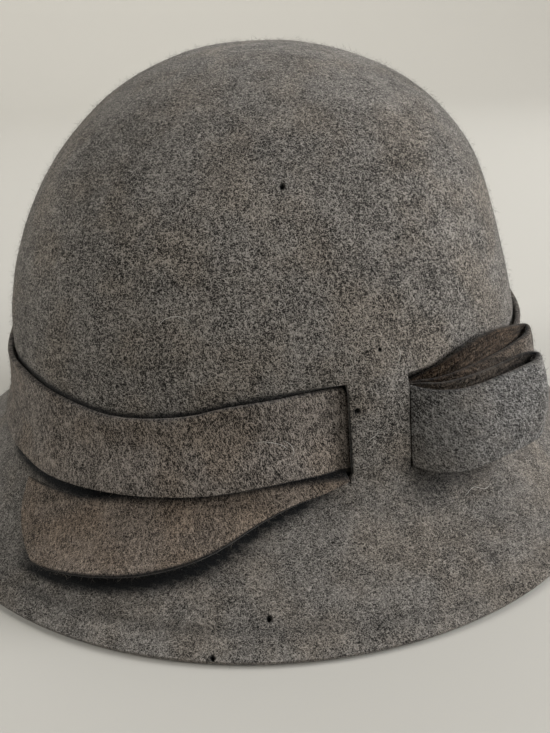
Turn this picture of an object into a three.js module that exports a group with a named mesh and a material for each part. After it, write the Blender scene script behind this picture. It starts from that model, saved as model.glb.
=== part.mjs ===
// A cloche hat of grey wool felt.
//
// Crown and brim are one piece of felt, blocked to shape. A band of thinner felt goes round
// the foot of the crown and passes under a bridge, the strip of crown felt between two slits.
// A tail of the same felt leaves the left slit and lies along the brim under the band. Two
// folded loops leave the right slit and stand off the crown.
//
// +X is the front of the head, -Y the side that carries the bridge, +Z up. The hat rests on
// its brim at z = 0. Every place on it is given by two numbers: `turn`, in degrees round the
// head from the -Y side towards +X, and `drop`, in millimetres below the band's top line
// (negative on the crown, BAND_LINE at the brim's edge).

import * as THREE from 'three';
import { mergeVertices } from 'three/addons/utils/BufferGeometryUtils.js';

const { degToRad, smoothstep, lerp, clamp } = THREE.MathUtils;

// ---------- driving sizes, in millimetres ----------

const HEAD_LENGTH = 189; // outside of the crown at the band, front to back
const HEAD_WIDTH = 172.4; // the same, side to side
const HEAD_SHIFT = -1.6; // the crown sits this far behind the middle of the brim
const BAND_LINE = 62.4; // height of the band's top line over the table, mid-head
const CROWN_RISE = 93.8; // from the band's top line to the tip
const BRIM_LENGTH = 274;
const BRIM_WIDTH = 265;
const BAND_HEIGHT = 26.4;

const FELT = 2.5; // crown and brim
const TRIM = 1.8; // band, tail and loops
const SQUEEZED = 1.2; // trim felt where it is pinched in a slit
const GAP = 0.3; // air between two pieces that lie on each other
const BAND_SEAT = 0.4; // and between the crown and the band round it

// The band's plane climbs this much for each millimetre towards +X and +Y.
const CLIMB_X = 0.0347;
const CLIMB_Y = 0.0478;

// Plan outlines are superellipses: 2 is an ellipse, more is squarer.
const HEAD_SQUARENESS = 2.5;
const BRIM_SQUARENESS = 2.0;
const TIP_SQUARENESS = 2.2;

// The crown's side view is a superellipse too, and its front shoulder is fuller.
const SHOULDER = 2.15;
const DOME = 1.85;
const FULLER_FRONT = 1.5;

// The brim's cut edge leans in to a narrow flat that rests on the table.
const EDGE_HEIGHT = 1.9; // of the cut edge's outer corner
const EDGE_DROP = BAND_LINE - EDGE_HEIGHT;
const EDGE_LEAN = 0.7; // how far the foot is inside that corner
const REST_WIDTH = 2.2; // of the flat ring under the brim
const EDGE_INSIDE = { inwards: 3.3, up: 1.2 }; // the inner face beside the cut edge

// The brim's slope: share of its whole reach at each drop below the band's top line.
const BRIM_SLOPE = [
  { drop: 0, reach: 0 },
  { drop: 13, reach: 0.035 },
  { drop: BAND_HEIGHT, reach: 0.09 },
  { drop: 33, reach: 0.17 },
  { drop: 40, reach: 0.33 },
  { drop: 47, reach: 0.53 },
  { drop: 54, reach: 0.76 },
  { drop: EDGE_DROP, reach: 1 },
];

// The two slits and the bridge of crown felt between them.
const LEFT_SLIT = 4.9; // turn
const RIGHT_SLIT = 15.6;
const SLIT_HALF = 0.25; // half the width that the slit stands open, in degrees
const SLIT_TOP = -3; // drop
const SLIT_FOOT = 29;
const BRIDGE_LIFT = 2.6; // the bridge's edges over the crown's own surface
const BRIDGE_CROWN = 0.5; // and its middle over its edges
const SLIT_DIP = 2.5; // the crown beside a slit is pressed in this far
const SLIT_END_LIFT = 0.4;
const DIP_REACH = 9; // degrees over which the dip fades
const SWELL = 2.2; // the crown's swelling over and under the bridge
const SWELL_REACH = 11; // degrees
const SWELL_ABOVE = 22; // millimetres
const SWELL_BELOW = 12;

// The band is not quite level: how far its top and foot stand above their plane.
const BAND_EDGES = [
  { turn: -180, top: 0, foot: 0 },
  { turn: -80, top: 1, foot: 0 },
  { turn: -62, top: 3, foot: 0 },
  { turn: -45, top: 0, foot: 0 },
  { turn: -33, top: -2.6, foot: -0.2 },
  { turn: -24, top: -2.8, foot: -0.5 },
  { turn: -16, top: -1.9, foot: -0.2 },
  { turn: -10, top: 0, foot: 0.6 },
  { turn: -3, top: 1, foot: 1.9 },
  { turn: 4.65, top: 1, foot: 1.4 },
  { turn: 5.15, top: -1, foot: 1.4 },
  { turn: 14, top: -1, foot: 1 },
  { turn: 24, top: -0.5, foot: 0 },
  { turn: 40, top: 0, foot: 0 },
  { turn: 180, top: 0, foot: 0 },
];

// The tail, from its root in the left slit to its cut end: its upper and its lower edge, and
// how far each stands off the hat.
const TAIL_STATIONS = [
  { upTurn: 3.6, up: 26.2, lowTurn: 3.6, low: 28.4, upOff: 1.1, lowOff: 1.1 },
  { upTurn: 1.5, up: 25.6, lowTurn: 1.5, low: 31.2, upOff: 0.8, lowOff: 1.3 },
  { upTurn: -5, up: 22.5, lowTurn: -6, low: 36.6, upOff: 0.4, lowOff: 2.2 },
  { upTurn: -12, up: 21.5, lowTurn: -14, low: 43, upOff: 0.4, lowOff: 2.8 },
  { upTurn: -20, up: 21.5, lowTurn: -22.5, low: 47, upOff: 0.4, lowOff: 3.0 },
  { upTurn: -27, up: 25, lowTurn: -30, low: 49, upOff: 0.5, lowOff: 3.0 },
  { upTurn: -35, up: 31, lowTurn: -36, low: 50, upOff: 1.0, lowOff: 2.9 },
  { upTurn: -45, up: 32.7, lowTurn: -39.5, low: 50.4, upOff: 1.6, lowOff: 2.8 },
  { upTurn: -55, up: 33.4, lowTurn: -42, low: 50.4, upOff: 2.0, lowOff: 2.6 },
];
const TAIL_END_BULGE = 2.5; // degrees that the cut end bows outwards

// The loops, followed along their middle line from one end in the slit to the other: `out` is
// the distance off the crown, `lift` how far the strip stands above the band's line.
const FRONT_LOOP = [
  { turn: 16.1, out: 2.0, lift: -1 },
  { turn: 18.5, out: 5.6, lift: -2 },
  { turn: 22, out: 9.6, lift: -2 },
  { turn: 26, out: 12.4, lift: -1.2 },
  { turn: 31, out: 14, lift: -0.3 },
  { turn: 36, out: 15.3, lift: 0 },
  { turn: 40.5, out: 16, lift: 0 },
  { turn: 43.5, out: 14.2, lift: 0 },
  { turn: 42, out: 11.2, lift: 0 },
  { turn: 38, out: 9.8, lift: 0 },
  { turn: 32, out: 8.9, lift: 0 },
  { turn: 26, out: 8.3, lift: 0 },
  { turn: 21, out: 6.9, lift: -0.5 },
  { turn: 18.6, out: 4.0, lift: -0.8 },
  { turn: 16.2, out: 0.6, lift: -1 },
];
const BACK_LOOP = [
  { turn: 20.4, out: 3.5, lift: 0 },
  { turn: 23.5, out: 5.4, lift: 1 },
  { turn: 28, out: 6.0, lift: 1.6 },
  { turn: 35, out: 6.4, lift: 2 },
  { turn: 43, out: 6.8, lift: 1.8 },
  { turn: 49.5, out: 7.6, lift: 2 },
  { turn: 53, out: 6.2, lift: 2.5 },
  { turn: 51, out: 4.1, lift: 3.2 },
  { turn: 46, out: 3.8, lift: 5.5 },
  { turn: 38, out: 3.8, lift: 8 },
  { turn: 30, out: 3.8, lift: 7.5 },
  { turn: 24.5, out: 3.6, lift: 5 },
  { turn: 20.6, out: 2.1, lift: 2 },
];
const LOOP_BELLY = 0.16; // how much further out a loop is at half its height, as a share
const ROOT_LENGTH = 0.12; // share of a loop's strip over which the pinch opens out

// ---------- how finely the felt is divided ----------

const span = (from, to, count) =>
  Array.from({ length: count + 1 }, (_, i) => lerp(from, to, i / count));

// Turns of the columns, once round. The two slits are columns of their own.
const BRIDGE_TURNS = span(LEFT_SLIT + SLIT_HALF, RIGHT_SLIT - SLIT_HALF, 4);
const TURNS = [
  ...span(-15, LEFT_SLIT - SLIT_HALF, 5),
  ...BRIDGE_TURNS,
  ...span(RIGHT_SLIT + SLIT_HALF, 45, 7),
  ...span(45, 345, 44).slice(1, -1),
];
// Drops of the rows, from the tip to the brim.
const TIP_ROWS = [1, 0.991, 0.959, 0.899, 0.803, 0.692, 0.565, 0.44, 0.33];
const DROPS = [
  ...TIP_ROWS.map((share) => -share * CROWN_RISE),
  -24, -16, -9, SLIT_TOP, -1, 1, 7, 13, 19, 25, 27, SLIT_FOOT,
  34, 40, 47, 54, EDGE_DROP,
];
const BAND_SHARES = [0, 0.27, 0.5, 0.73, 1];
const TAIL_SHARES = span(0, 1, 5);
const LOOP_SHARES = span(0, 1, 4);
const LOOP_STEPS = 28;

// ---------- tables read as smooth curves ----------

// The smooth curve through column `name` of a table whose rows are placed by column `key`.
function through(table, key, name, at) {
  const last = table.length - 1;
  let i = 0;
  while (i < last - 1 && at > table[i + 1][key]) i += 1;
  const slope = (k) => {
    const a = table[Math.max(k - 1, 0)];
    const b = table[Math.min(k + 1, last)];
    return (b[name] - a[name]) / (b[key] - a[key]);
  };
  const width = table[i + 1][key] - table[i][key];
  const t = clamp((at - table[i][key]) / width, 0, 1);
  const [t2, t3] = [t * t, t * t * t];
  return (
    (2 * t3 - 3 * t2 + 1) * table[i][name] +
    (t3 - 2 * t2 + t) * width * slope(i) +
    (3 * t2 - 2 * t3) * table[i + 1][name] +
    (t3 - t2) * width * slope(i + 1)
  );
}

// A table of stations read at a share of the way from its first row to its last.
function stationAt(stations, share) {
  const numbered = stations.map((row, place) => ({ ...row, place }));
  const at = share * (stations.length - 1);
  return Object.fromEntries(
    Object.keys(stations[0]).map((name) => [name, through(numbered, 'place', name, at)]),
  );
}

// ---------- the hat's own surface ----------

const power = (value, exponent) => Math.sign(value) * Math.abs(value) ** exponent;

// The blocked surface, the outside of the crown and brim before slits and bridge.
function blocked(turn, drop) {
  const height = clamp(-drop / CROWN_RISE, 0, 1);
  const girth = (1 - height ** DOME) ** (1 / SHOULDER);
  const reach = drop > 0 ? through(BRIM_SLOPE, 'drop', 'reach', drop) : 0;
  const squareness =
    HEAD_SQUARENESS +
    (BRIM_SQUARENESS - HEAD_SQUARENESS) * reach +
    (TIP_SQUARENESS - HEAD_SQUARENESS) * height ** 2;
  const length = lerp(HEAD_LENGTH * girth, BRIM_LENGTH, reach) / 2;
  const width = lerp(HEAD_WIDTH * girth, BRIM_WIDTH, reach) / 2;
  const angle = degToRad(turn);
  const front = FULLER_FRONT * Math.sin(2 * Math.PI * height) * (1 + Math.sin(angle));
  const x = length * power(Math.sin(angle), 2 / squareness) - front;
  const y = -width * power(Math.cos(angle), 2 / squareness);
  const level = clamp((EDGE_DROP - drop) / (EDGE_DROP - BAND_HEIGHT), 0, 1);
  const z = BAND_LINE - drop + (CLIMB_X * x + CLIMB_Y * y) * level;
  return new THREE.Vector3(x + HEAD_SHIFT * (1 - reach), y, z);
}

// The direction straight out of the blocked surface.
function outwards(turn, drop) {
  const step = 0.5;
  const tip = -CROWN_RISE * 0.999;
  if (drop < tip) return new THREE.Vector3(0, 0, 1);
  const upper = Math.max(drop - step, tip);
  const lower = Math.min(drop + step, EDGE_DROP);
  const round = blocked(turn + step, drop).sub(blocked(turn - step, drop));
  const up = blocked(turn, upper).sub(blocked(turn, lower));
  return round.cross(up).normalize();
}

const level = (direction) => direction.clone().setZ(0).normalize();

// How far the felt stands off the blocked surface. The bridge is lifted over the band and the
// crown beside it is pressed in; past the ends of the slits both join in one soft swelling.
const inBridge = (turn) => turn > LEFT_SLIT && turn < RIGHT_SLIT;

function relief(turn, drop) {
  const middle = (LEFT_SLIT + RIGHT_SLIT) / 2;
  const half = (RIGHT_SLIT - LEFT_SLIT) / 2;
  const away = Math.abs(turn - middle);
  const bell = (1 - smoothstep(away, 0, SWELL_REACH)) * (SWELL - SLIT_END_LIFT) + SLIT_END_LIFT;
  const fade =
    smoothstep(drop, SLIT_TOP - SWELL_ABOVE, SLIT_TOP) *
    (1 - smoothstep(drop, SLIT_FOOT, SLIT_FOOT + SWELL_BELOW));
  const swelling = bell * fade * (1 - smoothstep(away, SWELL_REACH, SWELL_REACH + 4));
  if (inBridge(turn)) {
    const slit = smoothstep(drop, SLIT_TOP, 1) * (1 - smoothstep(drop, 25, SLIT_FOOT));
    const lift = BRIDGE_LIFT + BRIDGE_CROWN * (1 - (away / half) ** 2);
    return lerp(swelling, lift, slit);
  }
  const slit = smoothstep(drop, SLIT_TOP, -1) * (1 - smoothstep(drop, 27, SLIT_FOOT));
  const dip = SLIT_DIP * (1 - smoothstep(away - half, 0, DIP_REACH));
  return lerp(swelling, -dip, slit);
}

// How far the band stands off the blocked surface: it follows the dip beside the slits
// straight under the bridge.
function bandSeat(turn, drop) {
  return inBridge(turn) ? -SLIT_DIP : relief(turn, clamp(drop, 0, 26));
}

const placed = (turn, drop, off) =>
  blocked(turn, drop).addScaledVector(outwards(turn, drop), off);

// ---------- felt made solid ----------

// Closes two matching grids of points, the outside and the inside of a felt, into one solid.
// `around` joins the last column to the first; `open(i, j)` leaves a cell out.
function feltSolid(outside, inside, { around = false, open = () => false } = {}) {
  const rows = outside.length - 1;
  const columns = outside[0].length - (around ? 0 : 1);
  const positions = [];
  const triangle = (a, b, c) => {
    const gaps = [a.distanceTo(b), b.distanceTo(c), c.distanceTo(a)];
    if (Math.min(...gaps) < 1e-4) return;
    [a, b, c].forEach((point) => positions.push(point.x, point.y, point.z));
  };
  const quad = (a, b, c, d) => {
    triangle(a, b, c);
    triangle(a, c, d);
  };
  const wrap = (j) => (around ? (j + columns) % columns : j);
  const present = (i, j) =>
    i >= 0 && i < rows && (around || (j >= 0 && j < columns)) && !open(i, wrap(j));
  const next = (j) => (around ? (j + 1) % columns : j + 1);
  for (let i = 0; i < rows; i += 1) {
    for (let j = 0; j < columns; j += 1) {
      if (!present(i, j)) continue;
      const corners = [[i, j], [i + 1, j], [i + 1, next(j)], [i, next(j)]];
      const [a, d, c, b] = corners.map(([r, k]) => outside[r][k]);
      const [a2, d2, c2, b2] = corners.map(([r, k]) => inside[r][k]);
      quad(a, d, c, b);
      quad(a2, b2, c2, d2);
      if (!present(i, j - 1)) quad(d, a, a2, d2);
      if (!present(i + 1, j)) quad(c, d, d2, c2);
      if (!present(i, j + 1)) quad(b, c, c2, b2);
      if (!present(i - 1, j)) quad(a, b, b2, a2);
    }
  }
  const geometry = new THREE.BufferGeometry();
  geometry.setAttribute('position', new THREE.Float32BufferAttribute(positions, 3));
  const merged = mergeVertices(geometry, 1e-4);
  merged.computeVertexNormals();
  return merged;
}

function feltMesh(name, geometry, colour) {
  const material = new THREE.MeshStandardMaterial({ color: colour, roughness: 0.96, metalness: 0 });
  const mesh = new THREE.Mesh(geometry, material);
  mesh.name = name;
  return mesh;
}

// ---------- the pieces ----------

// Crown and brim, one piece, hollow, with its two slits.
function hatBody() {
  const outside = DROPS.map((drop) =>
    TURNS.map((turn) => placed(turn, drop, relief(turn, drop))));
  const inside = DROPS.map((drop) =>
    TURNS.map((turn) => placed(turn, drop, relief(turn, drop) - FELT)));
  // The edge: the inner face beside it, then the flat ring that the hat rests on.
  const corner = outside[outside.length - 1];
  const towards = TURNS.map((turn) => level(outwards(turn, EDGE_DROP)));
  const shifted = (inwards, height) =>
    corner.map((point, j) => point.clone().addScaledVector(towards[j], -inwards).setZ(height));
  inside[inside.length - 1] = shifted(EDGE_INSIDE.inwards, EDGE_INSIDE.up);
  outside.push(shifted(EDGE_LEAN, 0));
  inside.push(shifted(EDGE_LEAN + REST_WIDTH, 0));

  const slitRow = (i) => DROPS[i] >= SLIT_TOP && DROPS[i] < SLIT_FOOT;
  const slitColumn = (j) =>
    [LEFT_SLIT, RIGHT_SLIT].some((slit) => Math.abs(TURNS[j] + SLIT_HALF - slit) < 1e-6);
  const open = (i, j) => slitRow(i) && slitColumn(j);
  return feltSolid(outside, inside, { around: true, open });
}

// The band, a closed ring that runs straight on behind the bridge.
function band() {
  const wrapped = (turn) => (turn > 180 ? turn - 360 : turn);
  const surface = (thickness) =>
    BAND_SHARES.map((share) =>
      TURNS.map((turn) => {
        const at = wrapped(turn);
        const top = -through(BAND_EDGES, 'turn', 'top', at);
        const foot = BAND_HEIGHT - through(BAND_EDGES, 'turn', 'foot', at);
        const drop = lerp(top, foot, share);
        const overTail = (TRIM + 2 * GAP) * smoothstep(drop, 11, 20) *
          smoothstep(at, -62, -42) * (1 - smoothstep(at, 0.5, 4.3));
        return placed(turn, drop, bandSeat(turn, drop) + BAND_SEAT + overTail + thickness);
      }));
  return feltSolid(surface(TRIM), surface(0), { around: true });
}

// The tail, a leaf-shaped strip with a pointed root and a cut end.
function tail() {
  const stations = TAIL_STATIONS.slice().reverse();
  const steps = span(0, 1, (stations.length - 1) * 2);
  const surface = (thickness) =>
    TAIL_SHARES.map((share) =>
      steps.map((along) => {
        const row = stationAt(stations, along);
        const bow = TAIL_END_BULGE * 4 * share * (1 - share) * (1 - smoothstep(along, 0, 0.25));
        const turn = lerp(row.upTurn, row.lowTurn, share) - bow;
        const drop = lerp(row.up, row.low, share);
        const off = lerp(row.upOff, row.lowOff, share ** 2);
        return placed(turn, drop, relief(turn, drop) + off + thickness);
      }));
  return feltSolid(surface(TRIM), surface(0));
}

// A loop: an upright strip that leaves the slit, turns back at its tip and returns.
function loop(stations) {
  const steps = span(0, 1, LOOP_STEPS);
  const heights = steps.map((along) => stationAt(stations, along));
  const standing = (row, share) => {
    const drop = BAND_HEIGHT * share - row.lift;
    const out = row.out * (1 + LOOP_BELLY * 4 * share * (1 - share));
    return blocked(row.turn, drop).addScaledVector(level(outwards(row.turn, drop)), out);
  };
  const middle = LOOP_SHARES.map((share) => heights.map((row) => standing(row, share)));
  const side = (sign) =>
    middle.map((line) =>
      line.map((point, k) => {
        const ahead = line[Math.min(k + 1, LOOP_STEPS)];
        const behind = line[Math.max(k - 1, 0)];
        const across = ahead.clone().sub(behind).cross(new THREE.Vector3(0, 0, 1)).normalize();
        const fromEnd = Math.min(k, LOOP_STEPS - k) / LOOP_STEPS;
        const thickness = lerp(SQUEEZED, TRIM, smoothstep(fromEnd, 0, ROOT_LENGTH));
        return point.clone().addScaledVector(across, (sign * thickness) / 2);
      }));
  return feltSolid(side(1), side(-1));
}

const hat = new THREE.Group();
hat.add(
  feltMesh('hat_body', hatBody(), 0x5f5c58),
  feltMesh('hat_band', band(), 0x57524c),
  feltMesh('tail', tail(), 0x5a5149),
  feltMesh('loop_front', loop(FRONT_LOOP), 0x5d5b58),
  feltMesh('loop_back', loop(BACK_LOOP), 0x524d48),
);

export default hat;
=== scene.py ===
# %% [markdown]
# # A cloche hat of grey wool felt
# A cloche is one cone of wool felt, steamed and pulled over a wooden block until it has a
# deep round crown and a short brim that turns down. This one is trimmed with strips of a
# thinner felt: a band round the foot of the crown, a tail that lies along the brim, and two
# folded loops. The band passes behind a bridge, the strip of crown felt between two slits.
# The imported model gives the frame: each piece below is made in the same place, in metres.

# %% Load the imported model
import math

import bpy
import numpy as np
from mathutils import Matrix, Vector, noise


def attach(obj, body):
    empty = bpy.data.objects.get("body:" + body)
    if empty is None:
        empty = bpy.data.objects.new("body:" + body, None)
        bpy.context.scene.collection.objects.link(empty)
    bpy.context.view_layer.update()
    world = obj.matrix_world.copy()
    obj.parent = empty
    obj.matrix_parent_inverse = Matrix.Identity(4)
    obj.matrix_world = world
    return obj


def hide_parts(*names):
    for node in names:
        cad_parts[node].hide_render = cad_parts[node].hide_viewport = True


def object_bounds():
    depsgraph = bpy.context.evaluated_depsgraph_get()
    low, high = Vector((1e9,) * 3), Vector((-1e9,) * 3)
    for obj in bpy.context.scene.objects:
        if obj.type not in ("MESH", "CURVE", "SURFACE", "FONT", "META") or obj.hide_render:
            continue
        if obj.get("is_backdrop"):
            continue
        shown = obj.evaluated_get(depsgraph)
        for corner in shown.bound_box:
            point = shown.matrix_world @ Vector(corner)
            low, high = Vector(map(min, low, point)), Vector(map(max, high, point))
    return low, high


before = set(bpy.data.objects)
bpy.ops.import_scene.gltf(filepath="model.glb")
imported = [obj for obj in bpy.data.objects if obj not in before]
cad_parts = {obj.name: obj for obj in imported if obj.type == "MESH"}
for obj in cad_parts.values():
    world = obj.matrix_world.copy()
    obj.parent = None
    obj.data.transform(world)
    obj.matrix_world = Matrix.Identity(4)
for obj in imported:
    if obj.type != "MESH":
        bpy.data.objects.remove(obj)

cad_low, cad_high = (list(corner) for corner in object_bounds())
MM = 0.001
print("nodes:", sorted(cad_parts))
print("box in mm:", [round((b - a) / MM, 1) for a, b in zip(cad_low, cad_high)])

# %% [markdown]
# ## Camera
# The hat stands on a table and is seen from just above it, close by, so the lens is a
# moderate one and the brim runs out of view on both sides. A camera looks along its own -Z
# with +Y up, so its turn is a matrix of three directions: right, up and backwards.

# %% Camera
EYE = Vector((-38.5, -275.3, 156.8)) * MM
HEADING = math.radians(8.64)  # from +Y towards +X
LOOK_DOWN = math.radians(24.52)
ROLL = math.radians(-1.86)
LENS = 35.36

ahead = Vector((math.sin(HEADING) * math.cos(LOOK_DOWN),
                math.cos(HEADING) * math.cos(LOOK_DOWN),
                -math.sin(LOOK_DOWN)))
level_right = ahead.cross(Vector((0, 0, 1))).normalized()
level_up = level_right.cross(ahead)
right = level_right * math.cos(ROLL) + level_up * math.sin(ROLL)
up = level_up * math.cos(ROLL) - level_right * math.sin(ROLL)

camera = bpy.data.objects.new("camera", bpy.data.cameras.new("camera"))
camera.data.lens = LENS
camera.data.clip_start = 0.01
camera.matrix_world = Matrix.Translation(EYE) @ Matrix(
    (right, up, -ahead)).transposed().to_4x4()
bpy.context.collection.objects.link(camera)
bpy.context.scene.camera = camera
print("camera at", [round(v, 4) for v in EYE])

# %% [markdown]
# ## The shape of the block
# A hat block can be described with two numbers for each place on it: `turn`, the angle round
# the head in degrees, and `drop`, the millimetres below the top line of the band. Its plan is
# a superellipse, a little squarer than an ellipse at the band and softer at the tip. Every
# piece of the trim lies on this one surface, so the pieces can't come apart.

# %% Sizes of the block, in millimetres
HEAD_LENGTH, HEAD_WIDTH = 189, 172.4
HEAD_SHIFT = -1.6
BRIM_LENGTH, BRIM_WIDTH = 274, 265
BAND_LINE = 62.4
CROWN_RISE = 93.8
BAND_HEIGHT = 26.4
CLIMB_X, CLIMB_Y = 0.0347, 0.0478
HEAD_SQUARENESS, BRIM_SQUARENESS, TIP_SQUARENESS = 2.5, 2.0, 2.2
SHOULDER, DOME, FULLER_FRONT = 2.15, 1.85, 1.5
EDGE_HEIGHT = 1.9
EDGE_DROP = BAND_LINE - EDGE_HEIGHT
BRIM_SLOPE = {
    "drop": [0, 13, BAND_HEIGHT, 33, 40, 47, 54, EDGE_DROP],
    "reach": [0, 0.035, 0.09, 0.17, 0.33, 0.53, 0.76, 1],
}

# %% Helpers on whole arrays
def smoothstep(value, low, high):
    share = np.clip((value - low) / (high - low), 0, 1)
    return share * share * (3 - 2 * share)


def lerp(a, b, share):
    return a + (b - a) * share


def power(value, exponent):
    return np.sign(value) * np.abs(value) ** exponent


def through(table, key, name, at):
    """The smooth curve through column `name` of a table whose rows are placed by `key`."""
    x, y = np.array(table[key], float), np.array(table[name], float)
    slope = np.gradient(y, x)
    slope[1:-1] = (y[2:] - y[:-2]) / (x[2:] - x[:-2])
    at = np.asarray(at, float)
    i = np.clip(np.searchsorted(x, at, side="left") - 1, 0, len(x) - 2)
    width = x[i + 1] - x[i]
    t = np.clip((at - x[i]) / width, 0, 1)
    return ((2 * t**3 - 3 * t**2 + 1) * y[i] + (t**3 - 2 * t**2 + t) * width * slope[i]
            + (3 * t**2 - 2 * t**3) * y[i + 1] + (t**3 - t**2) * width * slope[i + 1])


# %% The blocked surface and the direction out of it
def blocked(turn, drop):
    """Points of the outside of the felt, in millimetres, before slits and bridge."""
    turn, drop = np.broadcast_arrays(np.asarray(turn, float), np.asarray(drop, float))
    height = np.clip(-drop / CROWN_RISE, 0, 1)
    girth = (1 - height**DOME) ** (1 / SHOULDER)
    reach = np.where(drop > 0, through(BRIM_SLOPE, "drop", "reach", drop), 0)
    squareness = (HEAD_SQUARENESS + (BRIM_SQUARENESS - HEAD_SQUARENESS) * reach
                  + (TIP_SQUARENESS - HEAD_SQUARENESS) * height**2)
    length = lerp(HEAD_LENGTH * girth, BRIM_LENGTH, reach) / 2
    width = lerp(HEAD_WIDTH * girth, BRIM_WIDTH, reach) / 2
    angle = np.radians(turn)
    front = FULLER_FRONT * np.sin(2 * np.pi * height) * (1 + np.sin(angle))
    x = length * power(np.sin(angle), 2 / squareness) - front
    y = -width * power(np.cos(angle), 2 / squareness)
    tilt = np.clip((EDGE_DROP - drop) / (EDGE_DROP - BAND_HEIGHT), 0, 1)
    z = BAND_LINE - drop + (CLIMB_X * x + CLIMB_Y * y) * tilt
    return np.stack([x + HEAD_SHIFT * (1 - reach), y, z], axis=-1)


def unit(vectors):
    return vectors / np.linalg.norm(vectors, axis=-1, keepdims=True)


def outwards(turn, drop):
    turn, drop = np.broadcast_arrays(np.asarray(turn, float), np.asarray(drop, float))
    step, tip = 0.5, -CROWN_RISE * 0.999
    upper, lower = np.maximum(drop - step, tip), np.minimum(drop + step, EDGE_DROP)
    round_it = blocked(turn + step, drop) - blocked(turn - step, drop)
    up_it = blocked(turn, upper) - blocked(turn, lower)
    out = np.cross(round_it, up_it)
    out[drop < tip] = (0, 0, 1)
    return unit(out)


def placed(turn, drop, off):
    return blocked(turn, drop) + outwards(turn, drop) * np.asarray(off)[..., None]


around = blocked(np.arange(0, 360, 2.0), 0)
girth_mm = np.linalg.norm(np.roll(around, -1, axis=0) - around, axis=1).sum()
print(f"outside of the crown at the band: {girth_mm:.0f} mm round")

# %% [markdown]
# ## Slits and bridge
# Two upright slits are cut in the foot of the crown, and the felt between them is steamed
# out into a bridge. The felt beside each slit is pressed in, where the band goes under.

# %% How far the felt stands off the block
LEFT_SLIT, RIGHT_SLIT = 4.9, 15.6  # turn
SLIT_TOP, SLIT_FOOT = -3, 29  # drop
SLIT_HALF = 0.25
BRIDGE_LIFT, BRIDGE_CROWN = 2.6, 0.5
SLIT_DIP, SLIT_END_LIFT, DIP_REACH = 2.5, 0.4, 9
SWELL, SWELL_REACH, SWELL_ABOVE, SWELL_BELOW = 2.2, 11, 22, 12
FELT, TRIM, SQUEEZED = 2.5, 1.8, 0.9
GAP, BAND_SEAT = 0.3, 0.4
BRIDGE_MIDDLE = (LEFT_SLIT + RIGHT_SLIT) / 2
BRIDGE_HALF = (RIGHT_SLIT - LEFT_SLIT) / 2


def in_bridge(turn):
    return (turn > LEFT_SLIT) & (turn < RIGHT_SLIT)


def relief(turn, drop):
    away = np.abs(turn - BRIDGE_MIDDLE)
    bell = (1 - smoothstep(away, 0, SWELL_REACH)) * (SWELL - SLIT_END_LIFT) + SLIT_END_LIFT
    fade = (smoothstep(drop, SLIT_TOP - SWELL_ABOVE, SLIT_TOP)
            * (1 - smoothstep(drop, SLIT_FOOT, SLIT_FOOT + SWELL_BELOW)))
    swelling = bell * fade * (1 - smoothstep(away, SWELL_REACH, SWELL_REACH + 4))
    lifted = smoothstep(drop, SLIT_TOP, 1) * (1 - smoothstep(drop, 23.5, 28))
    lift = BRIDGE_LIFT + BRIDGE_CROWN * (1 - (away / BRIDGE_HALF) ** 2)
    pressed = smoothstep(drop, SLIT_TOP, -1) * (1 - smoothstep(drop, 24.8, 28))
    dip = SLIT_DIP * (1 - smoothstep(away - BRIDGE_HALF, 0, DIP_REACH))
    return np.where(in_bridge(turn), lerp(swelling, lift, lifted),
                    lerp(swelling, -dip, pressed))


def band_seat(turn, drop):
    return np.where(in_bridge(turn), -SLIT_DIP, relief(turn, np.clip(drop, 0, 26)))


print("bridge stands", round(float(relief(np.array(10.2), np.array(13.0))), 2), "mm out")

# %% [markdown]
# ## Felt as a closed solid
# Felt has no weave and no hem: a cut edge simply shows its thickness. So each piece is two
# matching grids of points, an outside and an inside, closed along their edges. Solidify
# could thicken one grid too, but two grids let an edge be rounded and a hole be sunk.

# %% Object from a mesh
def in_scene(name, mesh):
    made = bpy.data.objects.new(name, mesh)
    bpy.context.collection.objects.link(made)
    print(f"{name}: {len(mesh.polygons)} faces")
    return made


# %% Mesh from two grids
SHARP_ANGLE = math.radians(52)  # past this an edge of the felt is shaded as a corner


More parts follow.
